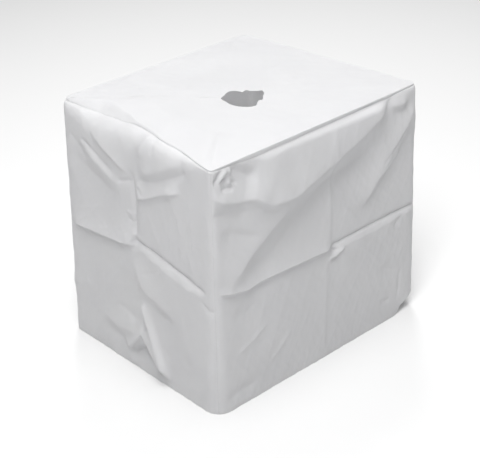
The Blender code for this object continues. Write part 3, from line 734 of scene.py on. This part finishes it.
def stitch_points(points, normals, sizes, closed):
    """Points of the stitches along a line on the cloth, as stitches by rings by sides."""
    if closed:
        points, normals = np.vstack([points, points[:1]]), np.vstack([normals, normals[:1]])
    gone = np.concatenate([[0.0], np.cumsum(np.linalg.norm(np.diff(points, axis=0), axis=1))])
    starts = np.arange(0.5 * sizes.stitch_pitch, gone[-1] - sizes.stitch_length, sizes.stitch_pitch)

    def read(at, values):
        return np.stack([np.interp(at, gone, values[:, k]) for k in range(3)], axis=-1)

    normal = unit(read(starts + sizes.stitch_length / 2, normals))
    begin, end = read(starts, points), read(starts + sizes.stitch_length, points)
    side = np.cross(normal, unit(end - begin))
    rings = []
    for share, size, rise in STITCH_RINGS:
        middle = begin * (1 - share) + end * share + normal * rise * sizes.thread_radius
        turns = 2 * np.pi * np.arange(STITCH_SIDES) / STITCH_SIDES
        ring = [middle + size * sizes.thread_radius * (side * np.cos(t) + normal * np.sin(t)) for t in turns]
        rings.append(np.stack(ring, axis=1))
    return np.stack(rings, axis=1)


def stitch_mesh(name, rows, sizes):
    """One mesh of many small stitches, each a short thread that goes into the cloth at both ends."""
    points = np.concatenate(rows)
    count, rings = points.shape[:2]
    per_stitch = rings * STITCH_SIDES
    faces = [list(range(STITCH_SIDES)), [per_stitch - 1 - k for k in range(STITCH_SIDES)]]
    for r in range(rings - 1):
        for k in range(STITCH_SIDES):
            a, b = r * STITCH_SIDES + k, r * STITCH_SIDES + (k + 1) % STITCH_SIDES
            faces.append([b, a, a + STITCH_SIDES, b + STITCH_SIDES])
    every = (np.array(faces)[None] + per_stitch * np.arange(count)[:, None, None]).reshape(-1, STITCH_SIDES)
    return mesh_from(name, points.reshape(-1, 3) * block_scale(sizes), every, STITCH_SIDES)


# Materials

def new_material(name):
    material = bpy.data.materials.new(name)
    material.use_nodes = True
    nodes, links = material.node_tree.nodes, material.node_tree.links
    return material, nodes, links, nodes["Principled BSDF"]


def add_node(nodes, kind, inputs=(), **settings):
    node = nodes.new(kind)
    for key, value in settings.items():
        setattr(node, key, value)
    for key, value in dict(inputs).items():
        node.inputs[key].default_value = value
    return node


def mapped_noise(nodes, links, place, scale, detail, stretch=(1.0, 1.0, 1.0)):
    """A noise over the flat cloth, its grain drawn out by stretch."""
    mapping = add_node(nodes, "ShaderNodeMapping", {"Scale": stretch})
    noise = add_node(nodes, "ShaderNodeTexNoise", {"Scale": scale, "Detail": detail, "Roughness": 0.55})
    links.new(place, mapping.inputs["Vector"])
    links.new(mapping.outputs["Vector"], noise.inputs["Vector"])
    return noise.outputs["Fac"]


def add_bump(nodes, links, height, strength, distance, below=None):
    bump = add_node(nodes, "ShaderNodeBump", {"Strength": strength, "Distance": distance})
    links.new(height, bump.inputs["Height"])
    if below is not None:
        links.new(below, bump.inputs["Normal"])
    return bump.outputs["Normal"]


def coated_cloth(finish):
    """White coated polyester: a close plain weave, faint wrinkles, and slight greying."""
    material, nodes, links, shader = new_material("white_coated_cloth")
    place = add_node(nodes, "ShaderNodeUVMap", uv_map="cloth_flat").outputs["UV"]

    tone = mapped_noise(nodes, links, place, 3.2, 3.0)
    ramp = nodes.new("ShaderNodeValToRGB")
    ramp.color_ramp.elements[0].position = 0.30
    ramp.color_ramp.elements[0].color = (*finish.cloth_shade, 1.0)
    ramp.color_ramp.elements[1].position = 0.68
    ramp.color_ramp.elements[1].color = (*finish.cloth_colour, 1.0)
    links.new(tone, ramp.inputs["Fac"])
    links.new(ramp.outputs["Color"], shader.inputs["Base Color"])

    gloss = mapped_noise(nodes, links, place, 14.0, 2.0)
    spread = add_node(nodes, "ShaderNodeMapRange", {
        "From Min": 0.3, "From Max": 0.7,
        "To Min": finish.cloth_roughness - 0.05, "To Max": finish.cloth_roughness + 0.05})
    links.new(gloss, spread.inputs["Value"])
    links.new(spread.outputs["Result"], shader.inputs["Roughness"])

    weave = add_node(nodes, "ShaderNodeMath", operation="MAXIMUM")
    for socket, direction in enumerate("XY"):
        wave = add_node(nodes, "ShaderNodeTexWave", {"Scale": WAVE_TEXTURE_LENGTH / finish.thread_pitch},
                        wave_type="BANDS", bands_direction=direction)
        links.new(place, wave.inputs["Vector"])
        links.new(wave.outputs["Fac"], weave.inputs[socket])
    wrinkles = mapped_noise(nodes, links, place, 22.0, 4.0, (1.0, 1.7, 1.0))
    normal = add_bump(nodes, links, wrinkles, 0.8, finish.wrinkle_depth)
    normal = add_bump(nodes, links, weave.outputs["Value"], 0.35, finish.weave_depth, normal)
    links.new(normal, shader.inputs["Normal"])

    shader.inputs["Specular IOR Level"].default_value = 0.42
    shader.inputs["Sheen Weight"].default_value = finish.sheen
    shader.inputs["Sheen Roughness"].default_value = 0.45

    through = add_node(nodes, "ShaderNodeBsdfTranslucent", {"Color": (*finish.cloth_colour, 1.0)})
    mix = add_node(nodes, "ShaderNodeMixShader", {"Fac": finish.light_through})
    links.new(shader.outputs["BSDF"], mix.inputs[1])
    links.new(through.outputs["BSDF"], mix.inputs[2])
    links.new(mix.outputs["Shader"], nodes["Material Output"].inputs["Surface"])
    return material


def sewing_thread(finish):
    """White polyester thread with a twist to it."""
    material, nodes, links, shader = new_material("white_sewing_thread")
    place = nodes.new("ShaderNodeTexCoord").outputs["Object"]
    noise = mapped_noise(nodes, links, place, 900.0, 1.0)
    links.new(add_bump(nodes, links, noise, 0.5, 0.0002), shader.inputs["Normal"])
    shader.inputs["Base Color"].default_value = (*finish.thread_colour, 1.0)
    shader.inputs["Roughness"].default_value = 0.45
    shader.inputs["Sheen Weight"].default_value = 0.2
    return material


def pale_floor(finish):
    material, nodes, links, shader = new_material("pale_floor")
    place = nodes.new("ShaderNodeTexCoord").outputs["Object"]
    noise = mapped_noise(nodes, links, place, 30.0, 3.0)
    links.new(add_bump(nodes, links, noise, 0.05, 0.0005), shader.inputs["Normal"])
    shader.inputs["Base Color"].default_value = (*finish.floor_colour, 1.0)
    shader.inputs["Roughness"].default_value = 0.8
    shader.inputs["Specular IOR Level"].default_value = 0.1
    return material


# Pieces

def add_object(name, data):
    """Add an object, in place of an earlier one of the same name."""
    old = bpy.data.objects.get(name)
    if old is not None:
        bpy.data.objects.remove(old, do_unlink=True)
    made = bpy.data.objects.new(name, data)
    bpy.context.scene.collection.objects.link(made)
    return made


def finish_with(mesh, name, make, finish):
    """Give a mesh the named material, made the first time that it is asked for."""
    mesh.materials.append(bpy.data.materials.get(name) or make(finish))


def add_cloth_piece(mesh, finish, node):
    """Put a cloth piece in place of its solid, on the cover's body and in the cloth's finish."""
    finish_with(mesh, "white_coated_cloth", coated_cloth, finish)
    mesh.shade_smooth()
    mesh.set_sharp_from_angle(angle=math.radians(SHARP_DEGREES))
    piece = add_object(mesh.name, mesh)
    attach(piece, BODY)
    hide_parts(node)
    return piece


def current_cloth(sizes):
    return cloth_grid(sizes.fold_scale, sizes.crinkle_height, sizes.hem_pucker)


def add_walls(sizes, finish):
    """The four wall panels, each cut from one straight length of cloth."""
    cloth = current_cloth(sizes)
    places = np.stack([cloth.around, cloth.length], axis=-1)
    ends = cloth.first[1:] + [len(cloth.grid)]
    rows = slice(0, cloth.seam_row + 1)
    for panel, start, end in zip(PANELS, cloth.first, ends):
        mesh = panel_mesh(panel.name, cloth, sizes, range(start, end + 1), rows, places)
        piece = add_cloth_piece(mesh, finish, panel.node)


def add_top(sizes, finish):
    """The top panel, from its seam in to the torn hole."""
    cloth = current_cloth(sizes)
    rows = slice(cloth.seam_row, cloth.grid.shape[1])
    columns = range(len(cloth.grid))
    mesh = panel_mesh(TOP_PANEL, cloth, sizes, columns, rows, cloth.grid[..., :2], closed=True)
    piece = add_cloth_piece(mesh, finish, TOP_NODE)


def add_stitches(sizes, finish):
    """Rows of stitches along the hem, the top seam and the four corner seams."""
    cloth = current_cloth(sizes)
    hem = stitch_points(*line_beside(cloth, 1, 0, sizes.hem_stitch_up), sizes, closed=True)
    beside_top = line_beside(cloth, 1, cloth.seam_row, -STITCH_BESIDE_SEAM)
    top_seam = stitch_points(*beside_top, sizes, closed=True)
    upright = slice(2, cloth.seam_row - 2)
    corner_seams = []
    for start in cloth.first:
        points, normals = line_beside(cloth, 0, start, STITCH_BESIDE_SEAM)
        corner_seams.append(stitch_points(points[upright], normals[upright], sizes, closed=False))
    rows = {"hem_stitches": [hem], "top_seam_stitches": [top_seam], "corner_seam_stitches": corner_seams}
    for name, made in rows.items():
        mesh = stitch_mesh(name, made, sizes)
        finish_with(mesh, "white_sewing_thread", sewing_thread, finish)
        mesh.shade_smooth()
        piece = add_object(name, mesh)
        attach(piece, BODY)


# Stage

def camera_axes():
    """The camera's right, up and back directions."""
    heading, down, roll = (math.radians(a) for a in (CAMERA_HEADING, CAMERA_DOWN, CAMERA_ROLL))
    level_share = math.cos(down)
    forward = Vector((math.cos(heading) * level_share, math.sin(heading) * level_share, -math.sin(down)))
    level = forward.cross(Vector((0, 0, 1))).normalized()
    right = Matrix.Rotation(roll, 3, forward) @ level
    return right, right.cross(forward), -forward


def add_camera():
    data = bpy.data.cameras.new("photo_camera")
    data.sensor_width = SENSOR_WIDTH
    data.lens = SENSOR_WIDTH * CAMERA_FOCAL_PIXELS / PHOTO_WIDTH
    data.clip_end = 100.0
    camera = add_object("photo_camera", data)
    turned = Matrix(camera_axes()).transposed().to_4x4()
    camera.matrix_world = Matrix.Translation(CAMERA_PLACE) @ turned
    bpy.context.scene.camera = camera


def add_floor(finish):
    corners = np.array([(-1, -1, 0), (1, -1, 0), (1, 1, 0), (-1, 1, 0)], float) * FLOOR_HALF
    mesh = mesh_from("studio_floor", corners, np.array([[0, 1, 2, 3]]), 4)
    finish_with(mesh, "pale_floor", pale_floor, finish)
    add_object("studio_floor", mesh)


Softbox = namedtuple("Softbox", "name x y z width height watts")
SOFTBOXES = (
    Softbox("key_softbox", -4.4, -3.4, 8.4, 4.0, 4.0, 760.0),
    Softbox("overhead_softbox", -1.0, -1.2, 9.0, 4.0, 4.0, 415.0),
    Softbox("far_softbox", 3.2, 3.4, 7.0, 2.5, 2.5, 265.0),
)


def add_softboxes(finish):
    """Large soft lights that all face the middle of the cover."""
    middle = Vector((0.0, 0.0, BLOCK_HEIGHT / 2))
    for box in SOFTBOXES:
        data = bpy.data.lights.new(box.name, "AREA")
        data.shape = "RECTANGLE"
        data.size, data.size_y = box.width, box.height
        data.energy = box.watts * finish.light_strength
        light = add_object(box.name, data)
        light.location = (box.x, box.y, box.z)
        light.rotation_euler = (middle - light.location).to_track_quat("-Z", "Y").to_euler()


def set_room_light(finish):
    world = bpy.data.worlds.get("studio_air") or bpy.data.worlds.new("studio_air")
    world.use_nodes = True
    background = world.node_tree.nodes["Background"]
    background.inputs["Color"].default_value = (1.0, 1.0, 1.0, 1.0)
    background.inputs["Strength"].default_value = finish.room_light
    bpy.context.scene.world = world
    bpy.context.scene.view_settings.view_transform = "Standard"


# The add-on

class CoverSizes(bpy.types.PropertyGroup):
    """Sizes that a user of the cover would change."""

    block_length: FloatProperty(
        name="Block length", description="Length of the block inside",
        default=BLOCK_LENGTH, min=0.3, unit="LENGTH")
    block_width: FloatProperty(
        name="Block width", description="Width of the block inside",
        default=BLOCK_WIDTH, min=0.3, unit="LENGTH")
    block_height: FloatProperty(
        name="Block height", description="Height of the block inside",
        default=BLOCK_HEIGHT, min=0.3, unit="LENGTH")
    cloth_thickness: FloatProperty(
        name="Cloth thickness", description="Thickness of one layer of cloth",
        default=0.0012, min=0.0005, max=0.003, unit="LENGTH")
    fold_scale: FloatProperty(
        name="Fold depth", description="Depth of the folds, where 1 is as modelled",
        default=1.35, min=0.0, max=1.5, subtype="FACTOR")
    crinkle_height: FloatProperty(
        name="Crinkle height", description="Height of the faint unevenness between the folds",
        default=0.0014, min=0.0, max=0.006, unit="LENGTH")
    hem_pucker: FloatProperty(
        name="Hem pucker", description="Height of the small waves that the stitching draws into the hem",
        default=0.0012, min=0.0, max=0.004, unit="LENGTH")
    hem_stitch_up: FloatProperty(
        name="Hem stitch height", description="Height of the hem's row of stitches over its edge",
        default=0.022, min=0.008, max=0.05, unit="LENGTH")
    stitch_length: FloatProperty(
        name="Stitch length", description="Length of thread that shows in each stitch",
        default=0.0038, min=0.002, max=0.010, unit="LENGTH")
    stitch_pitch: FloatProperty(
        name="Stitch pitch", description="Distance from one stitch to the next",
        default=0.0056, min=0.003, max=0.015, unit="LENGTH")
    thread_radius: FloatProperty(
        name="Thread radius", description="Half the thickness of the sewing thread",
        default=0.0004, min=0.0002, max=0.001, unit="LENGTH")


class CoverFinish(bpy.types.PropertyGroup):
    """Colours, surface detail and light that a user of the cover would change."""

    cloth_colour: FloatVectorProperty(
        name="Cloth colour", description="Colour of the clean cloth",
        default=(0.82, 0.82, 0.825), min=0.0, max=1.0, subtype="COLOR")
    cloth_shade: FloatVectorProperty(
        name="Cloth shade", description="Colour of the slightly greyed patches",
        default=(0.785, 0.785, 0.795), min=0.0, max=1.0, subtype="COLOR")
    cloth_roughness: FloatProperty(
        name="Cloth roughness", description="Roughness of the coated cloth",
        default=0.55, min=0.0, max=1.0, subtype="FACTOR")
    sheen: FloatProperty(
        name="Sheen", description="Soft glow of the cloth at glancing angles",
        default=0.12, min=0.0, max=1.0, subtype="FACTOR")
    light_through: FloatProperty(
        name="Light through", description="Share of the light that passes each face of the cloth",
        default=0.58, min=0.0, max=1.0, subtype="FACTOR")
    thread_pitch: FloatProperty(
        name="Thread pitch", description="Distance between threads of the weave",
        default=0.0007, min=0.0002, max=0.005, unit="LENGTH")
    weave_depth: FloatProperty(
        name="Weave depth", description="Depth of the weave",
        default=0.00006, min=0.0, max=0.001, unit="LENGTH")
    wrinkle_depth: FloatProperty(
        name="Wrinkle depth", description="Depth of the finest wrinkles",
        default=0.0004, min=0.0, max=0.005, unit="LENGTH")
    thread_colour: FloatVectorProperty(
        name="Thread colour", description="Colour of the sewing thread",
        default=(0.80, 0.80, 0.80), min=0.0, max=1.0, subtype="COLOR")
    floor_colour: FloatVectorProperty(
        name="Floor colour", description="Colour of the studio floor",
        default=(0.66, 0.66, 0.66), min=0.0, max=1.0, subtype="COLOR")
    light_strength: FloatProperty(
        name="Light strength", description="Strength of the softboxes, where 1 is as set up",
        default=1.0, min=0.0, max=5.0, subtype="FACTOR")
    room_light: FloatProperty(
        name="Room light", description="Strength of the even light from all round",
        default=0.30, min=0.0, max=5.0, subtype="FACTOR")


class COVER_OT_stage(bpy.types.Operator):
    """Make the floor, the soft lights and the camera"""

    bl_idname = "cover.stage"
    bl_label = "Make studio"
    bl_options = {"REGISTER", "UNDO"}

    def execute(self, context):
        finish = context.scene.cover_finish
        add_floor(finish)
        add_softboxes(finish)
        set_room_light(finish)
        add_camera()
        return {"FINISHED"}


class COVER_OT_walls(bpy.types.Operator):
    """Make the four wall panels with their draped folds"""

    bl_idname = "cover.walls"
    bl_label = "Make wall panels"
    bl_options = {"REGISTER", "UNDO"}

    def execute(self, context):
        add_walls(context.scene.cover_sizes, context.scene.cover_finish)
        return {"FINISHED"}


class COVER_OT_top(bpy.types.Operator):
    """Make the top panel with its torn hole"""

    bl_idname = "cover.top"
    bl_label = "Make top panel"
    bl_options = {"REGISTER", "UNDO"}

    def execute(self, context):
        add_top(context.scene.cover_sizes, context.scene.cover_finish)
        return {"FINISHED"}


class COVER_OT_stitches(bpy.types.Operator):
    """Make the rows of stitches along the hem and the seams"""

    bl_idname = "cover.stitches"
    bl_label = "Make stitches"
    bl_options = {"REGISTER", "UNDO"}

    def execute(self, context):
        add_stitches(context.scene.cover_sizes, context.scene.cover_finish)
        return {"FINISHED"}


OPERATORS = (COVER_OT_stage, COVER_OT_walls, COVER_OT_top, COVER_OT_stitches)


class COVER_PT_panel(bpy.types.Panel):
    """Sizes, finish and the operators that make the cover"""

    bl_idname = "COVER_PT_panel"
    bl_label = "Ballast block cover"
    bl_space_type = "VIEW_3D"
    bl_region_type = "UI"
    bl_category = "Cover"

    def draw(self, context):
        for group in (context.scene.cover_sizes, context.scene.cover_finish):
            box = self.layout.box()
            for name in type(group).__annotations__:
                box.prop(group, name)
        for operator in OPERATORS:
            self.layout.operator(operator.bl_idname)


CLASSES = (CoverSizes, CoverFinish, *OPERATORS, COVER_PT_panel)


def register():
    for each in CLASSES:
        bpy.utils.register_class(each)
    bpy.types.Scene.cover_sizes = PointerProperty(type=CoverSizes)
    bpy.types.Scene.cover_finish = PointerProperty(type=CoverFinish)


def unregister():
    del bpy.types.Scene.cover_sizes
    del bpy.types.Scene.cover_finish
    for each in reversed(CLASSES):
        bpy.utils.unregister_class(each)


def main():
    register()
    bpy.ops.cover.stage()
    bpy.ops.cover.walls()
    bpy.ops.cover.top()
    bpy.ops.cover.stitches()


if __name__ == "__main__":
    main()
